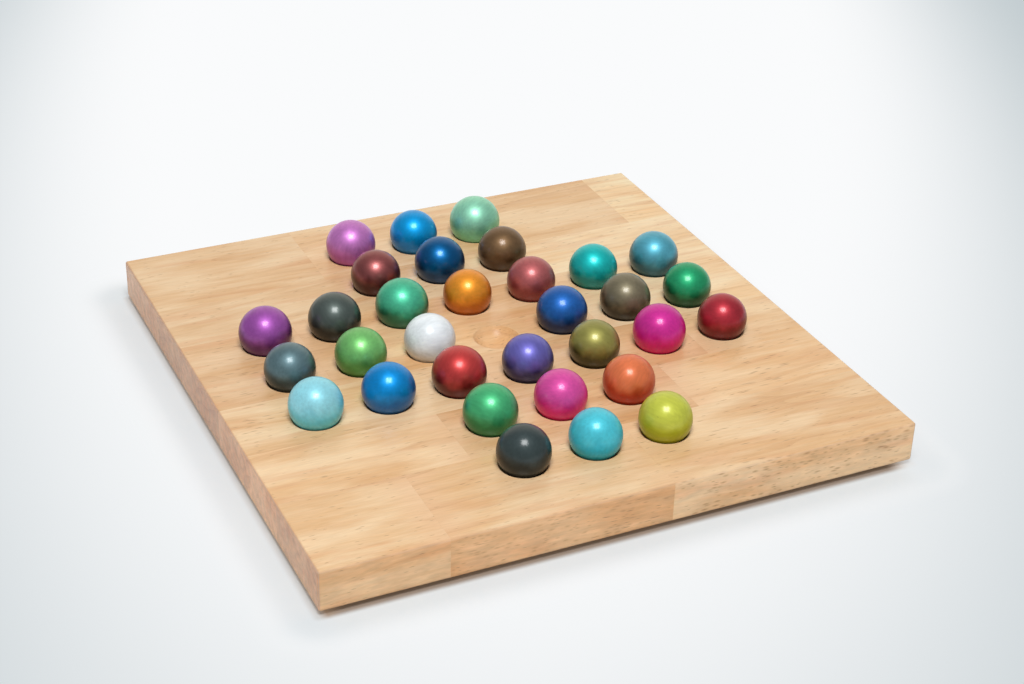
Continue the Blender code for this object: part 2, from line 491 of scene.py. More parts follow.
    def _pores(self, grain: Grain) -> tuple[Source, Source]:
        """Open the pores: long dashes in clusters on the faces, and short flecks on the long edges.

        Args:
            grain: What the patterns are laid out by.

        Returns:
            How much of a dash and of a fleck there is, each from 0 to 1.
        """
        tree = grain.tree
        few, many = self.pore_radius
        pore_radius = few, many + self.pore_growth * self.stave.pores
        marks = []
        for clusters, cell_mm, offset, radius, core, strength in (
                (self.pore_clusters, self.pore_mm, grain.offset,
                 pore_radius, self.pore_core, self.pore_strength),
                (self.fleck_clusters, self.fleck_mm, -grain.offset,
                 self.fleck_radius, 0.0, self.stave.flecks)):
            cells = add_node(tree, "TexVoronoi", {
                "Vector": self._stretched(grain, grain.on_fibres, cell_mm, offset), "Scale": 1.0})
            cluster = self._patches(grain, grain.on_fibres, clusters, -offset)
            reach = add_node(tree, "MapRange", {"Value": cluster, TO: radius})
            marks.append(add_node(tree, "MapRange", {
                "Value": cells, FROM: (core, reach), TO: (strength, 0.0)},
                interpolation_type="SMOOTHSTEP"))
        dashes, flecks = marks
        return dashes, add_node(tree, "Math", {
            0: flecks, 1: grain.side_share}, operation="MULTIPLY")

    def _body_colour(self, grain: Grain, band: Source, blotch: Source, streak: Source) -> Source:
        """Mix the wood's own colour: pale to dark with the figure, with pinker flushes.

        Args:
            grain: What the patterns are laid out by.
            band: The soft bands of several rings.
            blotch: The large patches.
            streak: The streaks.

        Returns:
            The colour.
        """
        tree, stave = grain.tree, self.stave
        pale, dark = [
            add_node(tree, "Mix", {
                MIX_FACTOR: grain.side_share,
                MIX_A: [min(1.0, stave.face_shade * level) for level in linear_rgba(face)],
                MIX_B: linear_rgba(side)}, data_type="RGBA")
            for face, side in zip(stave.face_tone.value[:2], stave.tone.value[:2])]
        figure = streak
        for part, weight in ((band, self.band_weight), (blotch, self.blotch_weight)):
            figure = add_node(tree, "Math", {
                0: part, 1: weight, 2: figure}, operation="MULTIPLY_ADD")
        body = add_node(tree, "Mix", {
            MIX_FACTOR: add_node(tree, "MapRange", {"Value": figure, FROM: self.tone_range}),
            MIX_A: pale, MIX_B: dark}, data_type="RGBA")
        flush = self._patches(grain, grain.on_fibres, self.flushes, -grain.offset)
        flush_share = add_node(tree, "Math", {
            0: flush, 1: self.flush_strength}, operation="MULTIPLY")
        return add_node(tree, "Mix", {
            MIX_FACTOR: flush_share, MIX_A: body, MIX_B: linear_rgba(self.flush_colour)},
            data_type="RGBA")

    def _matched_ends(self, grain: Grain, body: Source, along: Source) -> Source:
        """Draw the stave's tone towards its neighbours' where it meets them end to end.

        Args:
            grain: What the patterns are laid out by.
            body: The wood's own colour.
            along: The place along the board, in metres.

        Returns:
            The colour.
        """
        tree = grain.tree
        near = [
            add_node(tree, "MapRange", {
                "Value": along, FROM: (joint + inward * self.matched_reach, joint),
                "To Max": self.stave.matched}, interpolation_type="SMOOTHSTEP")
            for joint, inward in zip(self.end_joints, (1, -1))]
        nearest = add_node(tree, "Math", {0: near[0], 1: near[1]}, operation="MAXIMUM")
        on_faces = add_node(tree, "Math", {0: 1.0, 1: grain.side_share}, operation="SUBTRACT")
        share = add_node(tree, "Math", {0: nearest, 1: on_faces}, operation="MULTIPLY")
        return add_node(tree, "Mix", {
            MIX_FACTOR: share, MIX_A: body, MIX_B: linear_rgba(self.matched_colour)},
            data_type="RGBA")

    def _marked_colour(self, grain: Grain, body: Source, ring_line: Source, blotch: Source,
                       fibre: Source, pore: Source, fleck: Source) -> Source:
        """Lay the ring lines, fibres and pores over the wood's own colour.

        Args:
            grain: What the patterns are laid out by.
            body: The wood's own colour.
            ring_line: The thin line at the end of each ring.
            blotch: The large patches, which the ring lines come and go with.
            fibre: The fibres.
            pore: The pores' dashes on the faces.
            fleck: The pores' flecks on the long edges.

        Returns:
            The colour.
        """
        tree = grain.tree
        strength = add_node(tree, "MapRange", {
            "Value": grain.end_share, TO: self.ring_line_strength})
        patchy_line = add_node(tree, "Math", {0: ring_line, 1: blotch}, operation="MULTIPLY")
        line_share = add_node(tree, "Math", {0: patchy_line, 1: strength}, operation="MULTIPLY")
        ringed = add_node(tree, "Mix", {
            MIX_FACTOR: line_share, MIX_A: body,
            MIX_B: linear_rgba(self.stave.face_tone.value[2])}, data_type="RGBA")
        shade = add_node(tree, "MapRange", {
            "Value": fibre, FROM: self.fibres.noise_range, TO: self.fibre_shade})
        marked = add_node(tree, "Mix", {
            MIX_FACTOR: 1.0, MIX_A: ringed, MIX_B: shade}, data_type="RGBA", blend_type="MULTIPLY")
        for share, mark in ((pore, self.pore_colour), (fleck, self.fleck_colour)):
            marked = add_node(tree, "Mix", {
                MIX_FACTOR: share, MIX_A: marked, MIX_B: linear_rgba(mark)}, data_type="RGBA")
        return marked

    def _edge_colour(self, grain: Grain, marked: Source, upward: Source) -> Source:
        """Deepen and mottle the edges, which drink lacquer unevenly, and paint sheen on their
        roundings.

        Args:
            grain: What the patterns are laid out by.
            marked: The wood's colour with its marks.
            upward: The upward part of the surface's direction.

        Returns:
            The colour.
        """
        tree, stave = grain.tree, self.stave
        cloud = self._noise(grain, grain.on_fibres, self.mottles, -grain.offset)
        colour = marked
        # The long edges' tint is partly their lacquer and partly painted light; the end grain's is
        # its own
        for share, shade, tint, mottling in (
                (grain.side_share, stave.side_shade, self.side_colour, self.side_mottling),
                (grain.end_share, stave.end_shade, self.end_grain_colour, self.end_mottling)):
            mottle = add_node(tree, "MapRange", {
                "Value": cloud, FROM: self.mottles.noise_range, TO: (1 + mottling, 1 - mottling)})
            shaded_tint = [shade * level for level in linear_rgba(tint)[:3]] + [1.0]
            for laid_over in (shaded_tint, mottle):
                colour = add_node(tree, "Mix", {
                    MIX_FACTOR: share, MIX_A: colour, MIX_B: laid_over},
                    data_type="RGBA", blend_type="MULTIPLY")
        # Painted sheen: a pale colour laid on the roundings of the top and of the upright corners
        top_rounding = add_node(tree, "MapRange", {
            "Value": upward, "From Max": self.sheen_slope}, interpolation_type="SMOOTHSTEP")
        corner = add_node(tree, "Math", {
            0: grain.side_share, 1: grain.end_share}, operation="MULTIPLY")
        rounding = add_node(tree, "Math", {0: top_rounding, 1: corner}, operation="MAXIMUM")
        side_strength = add_node(tree, "Math", {
            0: grain.side_share, 1: self.rounding_sheen_side_share}, operation="MULTIPLY")
        strength = add_node(tree, "Math", {
            0: grain.end_share, 1: self.rounding_sheen_end_share, 2: side_strength},
            operation="MULTIPLY_ADD")
        # Share of the painted sheen on each rounding
        rubbed = add_node(tree, "Math", {0: rounding, 1: strength}, operation="MULTIPLY")
        return add_node(tree, "Mix", {
            MIX_FACTOR: rubbed, MIX_A: colour, MIX_B: linear_rgba(self.rounding_sheen_colour)},
            data_type="RGBA")

    @staticmethod
    def _stretched(grain: Grain, place: Source, cell_mm: Pair, offset: Vector) -> Source:
        """Scale a place in the log so that one cell of a pattern has a length and a width.

        Args:
            grain: What the patterns are laid out by.
            place: The place in the log, in millimetres.
            cell_mm: Length of a cell along the grain and its width across it.
            offset: Shifts the pattern.

        Returns:
            The scaled place.
        """
        along, across = cell_mm
        return add_node(grain.tree, "VectorMath", {
            0: place, 1: (1 / along, 1 / across, 1 / across), 2: offset}, operation="MULTIPLY_ADD")

    def _noise(self, grain: Grain, place: Source, pattern: Pattern, offset: Vector) -> Node:
        """Draw a pattern's noise.

        Args:
            grain: What the patterns are laid out by.
            place: The place in the log, in millimetres.
            pattern: The pattern.
            offset: Shifts the pattern.

        Returns:
            The noise, which also has a colour.
        """
        cell_mm = pattern.length_mm, pattern.width_mm
        return add_node(grain.tree, "TexNoise", {
            "Vector": self._stretched(grain, place, cell_mm, offset),
            "Scale": 1.0, "Detail": pattern.detail, "Roughness": pattern.roughness})

    def _patches(self, grain: Grain, place: Source, pattern: Pattern, offset: Vector) -> Source:
        """Draw a pattern as soft patches.

        Args:
            grain: What the patterns are laid out by.
            place: The place in the log, in millimetres.
            pattern: The pattern.
            offset: Shifts the pattern.

        Returns:
            How much of a patch there is, from 0 to 1.
        """
        return add_node(grain.tree, "MapRange", {
            "Value": self._noise(grain, place, pattern, offset), FROM: pattern.noise_range},
            interpolation_type="SMOOTHSTEP")

    def _strayed(self, grain: Grain, pattern: Pattern, reach_mm: float) -> Source:
        """Move each place in the log across the grain.

        Args:
            grain: What the patterns are laid out by.
            pattern: What moves the places.
            reach_mm: The furthest that a place moves.

        Returns:
            The moved place.
        """
        cloud = self._noise(grain, grain.in_log, pattern, grain.offset)
        centred = add_node(grain.tree, "VectorMath", {
            0: cloud.outputs["Color"], 1: (0.5, 0.5, 0.5)}, operation="SUBTRACT")
        return add_node(grain.tree, "VectorMath", {
            0: centred, 1: (0.0, 2 * reach_mm, 2 * reach_mm), 2: grain.in_log},
            operation="MULTIPLY_ADD")


class Sheen(Enum):
    """What carries a lacquer's colour: share of pearl flakes, roughness, richness in painted shade.
    """

    ENAMEL = (0.08, 0.5, 1.0)
    SATIN = (0.22, 0.5, 1.9)
    PEARL = (0.56, 0.5, 1.3)
    METALLIC = (0.85, 0.46, 1.2)


@dataclass(frozen=True)
class BallPaint:
    """The lacquer of one ball: the ball's CAD node is "ball_" and this name."""

    name: str
    colour: str
    sheen: Sheen
    painted_lower_shade: float       # how much darker the painted shade in the lower half is


BALL_PAINTS = (
    BallPaint("charcoal", "#3A4647", Sheen.SATIN, 0.74),
    BallPaint("turquoise", "#52CDDF", Sheen.SATIN, 0.05),
    BallPaint("lime", "#C9CE4E", Sheen.SATIN, 0.26),
    BallPaint("green", "#51C183", Sheen.PEARL, 0.58),
    BallPaint("magenta", "#E353A8", Sheen.SATIN, 0.00),
    BallPaint("coral", "#E67B4E", Sheen.SATIN, 0.41),
    BallPaint("aqua", "#9AE1EF", Sheen.SATIN, 0.05),
    BallPaint("azure", "#0796E4", Sheen.PEARL, 0.44),
    BallPaint("dark_red", "#CC4443", Sheen.PEARL, 0.81),
    BallPaint("violet", "#7571C7", Sheen.PEARL, 0.81),
    BallPaint("olive", "#A5A056", Sheen.PEARL, 0.86),
    BallPaint("fuchsia", "#D6309B", Sheen.SATIN, 0.00),
    BallPaint("crimson", "#B83441", Sheen.PEARL, 0.64),
    BallPaint("slate", "#67838A", Sheen.PEARL, 0.76),
    BallPaint("leaf", "#82CE79", Sheen.PEARL, 0.53),
    BallPaint("white", "#F4FAFD", Sheen.ENAMEL, 0.20),
    BallPaint("royal_blue", "#266BBE", Sheen.PEARL, 0.82),
    BallPaint("taupe", "#867E66", Sheen.PEARL, 0.88),
    BallPaint("forest", "#2CAF77", Sheen.PEARL, 0.82),
    BallPaint("purple", "#AE5DB8", Sheen.PEARL, 0.72),
    BallPaint("graphite", "#5B6662", Sheen.PEARL, 0.88),
    BallPaint("emerald", "#56CDA4", Sheen.PEARL, 0.76),
    BallPaint("orange", "#F9A133", Sheen.PEARL, 0.46),
    BallPaint("rose", "#BF6869", Sheen.PEARL, 0.52),
    BallPaint("teal", "#1FCCCB", Sheen.PEARL, 0.60),
    BallPaint("steel_blue", "#63BBD2", Sheen.PEARL, 0.78),
    BallPaint("maroon", "#A25A59", Sheen.METALLIC, 0.83),
    BallPaint("navy", "#0767A4", Sheen.METALLIC, 0.66),
    BallPaint("brown", "#806344", Sheen.PEARL, 0.69),
    BallPaint("orchid", "#D989D7", Sheen.PEARL, 0.40),
    BallPaint("sky", "#07AAF2", Sheen.PEARL, 0.37),
    BallPaint("mint", "#A0E7C7", Sheen.PEARL, 0.28),
)


@dataclass(frozen=True)
class BallLacquer:
    """Coloured lacquer on turned wood, dipped and then tumbled with wax.

    To the eye: a deep colour that turns paler towards the light, because pearl flakes in the film
    mirror it in the lacquer's own colour, under a clear soft wax gloss. The side turned away from
    the light, mostly the lower half, has painted shade: a deeper, richer colour with a cloudy
    border. The grain of the wood shows through as faint stripes, with a few thin dark scratches
    where it was open.
    """

    paint: BallPaint
    radius: float                        # of the ball
    seed: int
    pattern_shift: float = 300.0         # the most that the patterns are shifted, in millimetres

    # Film
    mottle_mm: float = 8.0               # size of the cloudy patches
    grain_mm: Pair = (9.0, 1.3)          # length and width of the grain's stripes, coarse to show
    cloud_range: Pair = (0.7, 1.3)       # of mottles and grain together
    cloud_shade: Pair = (0.9, 1.1)       # how dark and light these make the film
    painted_light_way: Triple = (-0.15, -0.31, 0.94)    # way up and a little forward, where the painted light comes from; painted shade lies away from it
    shade_border_wander: float = 0.5           # how far the mottles move the border of the painted shade
    shade_border_range: Pair = (0.4, 0.92)     # along that way, from all painted shade to none
    roughness_spread: float = 0.06
    peel_mm: float = 1.6                 # size of the ripples
    peel_depth: float = 0.014 * MM
    specular: float = 0.1                # of the colour under the wax
    coat: float = 0.6
    coat_roughness: float = 0.2

    # Scratches
    scratch_mm: Pair = (5.0, 1.2)        # length and spacing of the open pores
    scratch_mottles: Pair = (0.52, 0.68)  # of the mottles, from closed pores to open ones
    scratch_radius: Pair = (0.03, 0.22)  # in cells, where the pores are closed and open
    scratch_core: float = 0.02           # in cells: evenly dark
    scratch_strength: float = 0.35
    scratch_colour: str = "#1C1814"

    def make(self) -> bpy.types.Material:
        """Build the material.

        Returns:
            The material.
        """
        material = empty_material("dipped_lacquer_" + self.paint.name)
        tree = material.node_tree
        draw = random.Random(self.seed)
        place = add_node(tree, "TexCoord").outputs["Object"]
        where = add_node(tree, "Mapping", {
            "Vector": place,
            "Location": [draw.uniform(-self.pattern_shift, self.pattern_shift) for _ in range(3)],
            "Rotation": [draw.uniform(0, math.pi) for _ in range(3)],
            "Scale": (1 / MM, 1 / MM, 1 / MM),
        })
        mottles = add_node(tree, "TexNoise", {
            "Vector": where, "Scale": 1 / self.mottle_mm})
        grain_place, scratch_place = [
            add_node(tree, "VectorMath", {
                0: where, 1: (1 / along, 1 / across, 1 / across)}, operation="MULTIPLY")
            for along, across in (self.grain_mm, self.scratch_mm)]
        grain = add_node(tree, "TexNoise", {"Vector": grain_place, "Scale": 1.0})
        ripples = add_node(tree, "TexNoise", {
            "Vector": where, "Scale": 1 / self.peel_mm, "Detail": 1.0})
        film = add_node(tree, "Bump", {
            "Height": ripples, "Distance": self.peel_depth, "Strength": 1.0})
        cloud = add_node(tree, "Math", {0: mottles, 1: grain}, operation="ADD")
        shade = add_node(tree, "MapRange", {
            "Value": cloud, FROM: self.cloud_range, TO: self.cloud_shade})
        clouded = add_node(tree, "Mix", {
            MIX_FACTOR: 1.0, MIX_A: self._painted_shade_colour(tree, place, mottles), MIX_B: shade},
            data_type="RGBA", blend_type="MULTIPLY")
        scratched = add_node(tree, "Mix", {
            MIX_FACTOR: self._scratches(tree, scratch_place, mottles), MIX_A: clouded,
            MIX_B: linear_rgba(self.scratch_colour)}, data_type="RGBA")
        flakes, roughness, _ = self.paint.sheen.value
        dullness = add_node(tree, "MapRange", {
            "Value": mottles,
            TO: (roughness - self.roughness_spread, roughness + self.roughness_spread)})
        surface = add_node(tree, "BsdfPrincipled", {
            "Base Color": scratched,
            "Metallic": flakes,
            "Roughness": dullness,
            "Specular IOR Level": self.specular,
            "Coat Weight": self.coat,
            "Coat Roughness": self.coat_roughness,
            "Normal": film,
            "Coat Normal": film,
        })
        add_node(tree, "OutputMaterial", {"Surface": surface})
        return material

    def _painted_shade_colour(self, tree: Tree, place: Source, mottles: Source) -> Source:
        """Mix the painted shade on the side away from the light with the lacquer's own colour.

        Args:
            tree: The material's nodes.
            place: The place on the ball, from its middle.
            mottles: The cloudy patches.

        Returns:
            The colour.
        """
        # Painted shade: darker and richer away from the light, with a border that the mottles move
        height = add_node(tree, "VectorMath", {
            0: place, 1: [level / self.radius for level in self.painted_light_way]},
            operation="DOT_PRODUCT")
        border = add_node(tree, "Math", {
            0: mottles, 1: self.shade_border_wander, 2: height}, operation="MULTIPLY_ADD")
        lit_tone_share = add_node(tree, "MapRange", {
            "Value": border, FROM: self.shade_border_range}, interpolation_type="SMOOTHSTEP")
        # thin is the lacquer's own colour, thick is its painted shade
        thin = linear_rgba(self.paint.colour)
        richness = self.paint.sheen.value[2]
        strongest = max(thin[:3])
        thick = [(1 - self.paint.painted_lower_shade) * strongest * (level / strongest) ** richness
                 for level in thin[:3]]
        return add_node(tree, "Mix", {
            MIX_FACTOR: lit_tone_share, MIX_A: thick + [1.0], MIX_B: thin}, data_type="RGBA")

    def _scratches(self, tree: Tree, scratch_place: Source, mottles: Source) -> Source:
        """Open some pores as thin scratches.

        Args:
            tree: The material's nodes.
            scratch_place: The place on the ball, in the scratches' cells.
            mottles: The cloudy patches, in some of which the pores are open.

        Returns:
            How much of a scratch there is.
        """
        pores = add_node(tree, "TexVoronoi", {"Vector": scratch_place, "Scale": 1.0})
        reach = add_node(tree, "MapRange", {
            "Value": mottles, FROM: self.scratch_mottles, TO: self.scratch_radius})
        return add_node(tree, "MapRange", {
            "Value": pores, FROM: (self.scratch_core, reach), TO: (self.scratch_strength, 0.0)})


@dataclass(frozen=True)
class MouldedRubber:
    """Dark rubber, moulded in a spark-eroded tool and stuck on.

    To the eye: matt dark grey with a fine even grain, a little dusty and paler where it is rubbed.
    """

    name: str = "moulded_dark_rubber"
    colour: str = "#3A3836"
    dust_colour: str = "#6E6A64"
    dust_mm: float = 3.0                 # size of the dusty patches
    dust_detail: float = 4.0
    dust_range: Pair = (0.5, 0.75)       # of the noise, from clean to dusty
    dust_strength: float = 0.35
    grain_mm: float = 0.35               # the tool's grain is finer: drawn coarse so that it shows
    grain_depth: float = 0.03 * MM
    roughness: Pair = (0.7, 0.9)
    ior: float = 1.52

    def make(self) -> bpy.types.Material:
        """Build the material.

        Returns:
            The material.
        """
        material = empty_material(self.name)
        tree = material.node_tree
        place = add_node(tree, "TexCoord").outputs["Object"]
        grain = add_node(tree, "TexNoise", {"Vector": place, "Scale": 1 / (self.grain_mm * MM)})
        dust = add_node(tree, "TexNoise", {
            "Vector": place, "Scale": 1 / (self.dust_mm * MM), "Detail": self.dust_detail})
        dusty = add_node(tree, "MapRange", {
            "Value": dust, FROM: self.dust_range, "To Max": self.dust_strength})
        skin = add_node(tree, "Bump", {
            "Height": grain, "Distance": self.grain_depth, "Strength": 1.0})
        surface = add_node(tree, "BsdfPrincipled", {
            "Base Color": add_node(tree, "Mix", {
                MIX_FACTOR: dusty, MIX_A: linear_rgba(self.colour),
                MIX_B: linear_rgba(self.dust_colour)}, data_type="RGBA"),
            "Roughness": add_node(tree, "MapRange", {"Value": dust, TO: self.roughness}),
            "IOR": self.ior,
            "Normal": skin,
        })
        add_node(tree, "OutputMaterial", {"Surface": surface})
        return material


@dataclass
class GluedPanel:
    """The board: staves glued edge to edge and end to end, then planed, dimpled and rounded over.

    Each dimple is a round-nosed cutter's hollow whose rim the sander has softened.
    """

    body: str = "board"
    first_seed: int = 11                # of the first stave's wood: the others follow
    edge_radius: float = 1.2 * MM
    edge_steps: int = 6
    edge_profile: float = 0.5           # a true quarter circle
    joint_width: float = 0.02 * MM      # what shows of a tight glue joint
    cad_joint_width: float = 0.3 * MM   # what the frame leaves between two staves
    dimple_radius: float = 13.5 * MM
    dimple_depth: float = 6.0 * MM
    rim_radius: float = 0.6 * MM
    rim_end: float = 3.0                # degrees from level at which the cutter leaves the rim
    dimple_steps: int = 72
    hollow_rings: int = 14
    rim_rings: int = 6
    empty_place: Pair = (0.0, 0.0)
    overrun: float = 5.0 * MM           # how far a cutting shape runs past what it cuts
    far_out: float = 1.0                # a place well past the board
    sharp_angle: float = 35.0           # degrees: edges that bend more than this stay sharp
    lowest: Vector = field(init=False)
    highest: Vector = field(init=False)

    def __post_init__(self) -> None:
        """Take the panel's own box from its staves."""
        boxes = [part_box("stave_" + stave.name) for stave in STAVES]
        self.lowest = Vector([min(box[0][axis] for box in boxes) for axis in range(3)])
        self.highest = Vector([max(box[1][axis] for box in boxes) for axis in range(3)])

    def build(self) -> list[bpy.types.Object]:
        """Make every stave, dress it and let it ride on the board.

        Returns:
            The staves.
        """
        rounded = self._rounded_panel()
        made = []
        for seed, stave in enumerate(STAVES, start=self.first_seed):
            node = "stave_" + stave.name
            piece = self._cut_stave(node, rounded)
            finish = SatinRubberwood(stave, seed, tuple(box_middle(node)), self.highest.y / MM,
                                     self._end_joints(node))
            piece.data.materials.append(finish.make())
            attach(piece, self.body)
            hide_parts(node)
            log.info("%s: %d faces, %s wood", piece.name, len(piece.data.polygons),
                     stave.tone.name.lower())
            made.append(piece)
        bpy.data.objects.remove(rounded, do_unlink=True)
        return made

    def _end_joints(self, node: str) -> Pair:
        """Find the ends of a stave that meet another stave's.

        Args:
            node: The stave's CAD node.

        Returns:
            The X of its left and right end, or a place far out for an end on the board's edge.
        """
        lowest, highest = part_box(node)
        at_left = lowest.x < self.lowest.x + self.cad_joint_width
        at_right = highest.x > self.highest.x - self.cad_joint_width
        return -self.far_out if at_left else lowest.x, self.far_out if at_right else highest.x

    def _rounded_panel(self) -> bpy.types.Object:
        """Make the whole panel with its rounded edges.

        Returns:
            The shape that the staves are cut from.
        """
        shape = self._block(self.lowest, self.highest)
        bmesh.ops.bevel(shape, geom=list(shape.edges), offset=self.edge_radius,
                        segments=self.edge_steps, profile=self.edge_profile, affect="EDGES")
        return add_object("rounded_panel_guide", shape)

    @staticmethod
    def _block(lowest: Vector, highest: Vector) -> bmesh.types.BMesh:
        """Make a closed block.

        Args:
            lowest: Its corner with the lowest X, Y and Z.
            highest: The corner across from it.

        Returns:
            The mesh.
        """
        shape = bmesh.new()
        size = highest - lowest
        place = Matrix.Translation((lowest + highest) / 2) @ Matrix.Diagonal((*size, 1))
        bmesh.ops.create_cube(shape, size=1, matrix=place)
        return shape

    def _stave_reach(self, node: str) -> tuple[Vector, Vector]:
        """Give the block that a stave is cut from.

        Args:
            node: The stave's CAD node.

        Returns:
            The block's corners: past the panel on its outer sides, and up to the glue line on the
            others.
        """
        lowest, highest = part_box(node)
        grow = (self.cad_joint_width - self.joint_width) / 2
        for axis in range(3):
            at_low_side = abs(lowest[axis] - self.lowest[axis]) < grow
            at_high_side = abs(highest[axis] - self.highest[axis]) < grow
            lowest[axis] -= self.overrun if at_low_side else grow
            highest[axis] += self.overrun if at_high_side else grow
        return lowest, highest

    def _dimple_outline(self) -> list[Pair]:
        """Draw the round-nosed cutter that makes a dimple and its rim.

        Returns:
            Its outline as radius and height, from its nose up past the board's top.
        """
        top = self.highest.z
        ball_height = top - self.dimple_depth + self.dimple_radius
        rim_height = top - self.rim_radius
        reach = self.dimple_radius + self.rim_radius
        rim_middle = math.sqrt(reach ** 2 - (ball_height - rim_height) ** 2)
        meeting = math.atan2(ball_height - rim_height, rim_middle)
        outline = [(0.0, top - self.dimple_depth)]
        for step in range(1, self.hollow_rings + 1):
            turn = (math.pi / 2 - meeting) * step / self.hollow_rings
            outline.append((self.dimple_radius * math.sin(turn),
                            ball_height - self.dimple_radius * math.cos(turn)))
        for step in range(1, self.rim_rings + 1):
            turn = meeting + (math.radians(90 - self.rim_end) - meeting) * step / self.rim_rings
            outline.append((rim_middle - self.rim_radius * math.cos(turn),
                            rim_height + self.rim_radius * math.sin(turn)))
        outline.append((outline[-1][0], top + self.overrun))
        return outline

    def _cut_stave(self, node: str, rounded: bpy.types.Object) -> bpy.types.Object:
        """Cut one stave from the rounded panel, with its dimples.

        Args:
            node: The stave's CAD node.
            rounded: The whole panel's shape.

        Returns:
            The stave's piece.
        """
        lowest, highest = self._stave_reach(node)
        piece = add_object("planed_" + node, self._block(lowest, highest))
        places = [self.empty_place]
        places += [tuple(box_middle("ball_" + paint.name).xy) for paint in BALL_PAINTS]
        inside = [(x, y) for x, y in places
                  if lowest.x < x < highest.x and lowest.y < y < highest.y]
        steps = [(rounded, "INTERSECT")]
        if inside:
            dimples = turned_shape(self._dimple_outline(), self.dimple_steps, inside)
            cutter = add_object("dimple_cutter_guide", dimples)
            steps.append((cutter, "DIFFERENCE"))
        for other, operation in steps:
            step = piece.modifiers.new(operation.lower(), "BOOLEAN")
            step.operation, step.solver, step.object = operation, "EXACT", other
        graph = bpy.context.evaluated_depsgraph_get()
        shape = bpy.data.meshes.new_from_object(piece.evaluated_get(graph))
        piece.modifiers.clear()
        piece.data = shape
        if inside:
            bpy.data.objects.remove(cutter, do_unlink=True)
        shape.shade_smooth()
        shape.set_sharp_from_angle(angle=math.radians(self.sharp_angle))
        flat_faces = piece.modifiers.new("flat_faces", "WEIGHTED_NORMAL")
        flat_faces.keep_sharp = True
        return piece


@dataclass
class StuckOnFeet:
    """Four round rubber feet: a moulded disc with a ring in its sole, on an adhesive pad."""

    body: str = "board"
    pad_inset: float = 0.4 * MM         # the adhesive pad is this much smaller than the rubber
    pad_height: float = 0.25 * MM
    rim_radius: float = 0.5 * MM
    top_radius: float = 0.15 * MM
    draft: float = 0.12 * MM            # the sides lean in by this much, to leave the mould
    ring_middle: float = 4.4 * MM       # of the groove in the sole, from the foot's middle
    ring_width: float = 0.9 * MM
    ring_depth: float = 0.3 * MM
    steps: int = 64
    curve_steps: int = 6
    sharp_angle: float = 40.0           # degrees: edges that bend more than this stay sharp
    finish: MouldedRubber = field(default_factory=MouldedRubber)

    def build(self) -> list[bpy.types.Object]:
        """Make the feet, dress them and let them ride on the board.

        Returns:
            The feet.
        """
        rubber = self.finish.make()
        made = []
        for side in ("front_left", "front_right", "back_left", "back_right"):
            node = "foot_" + side
            lowest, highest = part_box(node)
            outline = self._outline((highest.x - lowest.x) / 2, lowest.z, highest.z)
            shape = turned_shape(outline, self.steps, [tuple(box_middle(node).xy)])
            piece = add_object("moulded_" + node, shape)
            piece.data.shade_smooth()
            piece.data.set_sharp_from_angle(angle=math.radians(self.sharp_angle))
            piece.data.materials.append(rubber)
            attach(piece, self.body)
            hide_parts(node)
            log.info("%s: %.1f mm across", piece.name, (highest.x - lowest.x) / MM)
            made.append(piece)
        return made

    def _outline(self, radius: float, sole: float, top: float) -> list[Pair]:
        """Give a foot's outline as radius and height, from the middle of its sole up to its pad's.

        Args:
            radius: The foot's largest radius.
            sole: Height of its sole.
            top: Height of the rubber's upper face.

        Returns:
            The outline.
        """
        quarter = [math.pi / 2 * step / self.curve_steps for step in range(self.curve_steps + 1)]
        outline = [(0.0, sole)]
        for step in range(-self.curve_steps, self.curve_steps + 1):
            share = step / self.curve_steps
            outline.append((self.ring_middle + share * self.ring_width / 2,
                            sole + self.ring_depth * (1 + math.cos(share * math.pi)) / 2))
        outline += [(radius - self.rim_radius * (1 - math.sin(turn)),
                     sole + self.rim_radius * (1 - math.cos(turn))) for turn in quarter]
        upper = radius - self.draft
        outline += [(upper - self.top_radius * (1 - math.cos(turn)),
                     top - self.top_radius * (1 - math.sin(turn))) for turn in quarter]
        pad = radius - self.pad_inset
        outline += [(pad, top), (pad, top + self.pad_height), (0.0, top + self.pad_height)]
        return outline


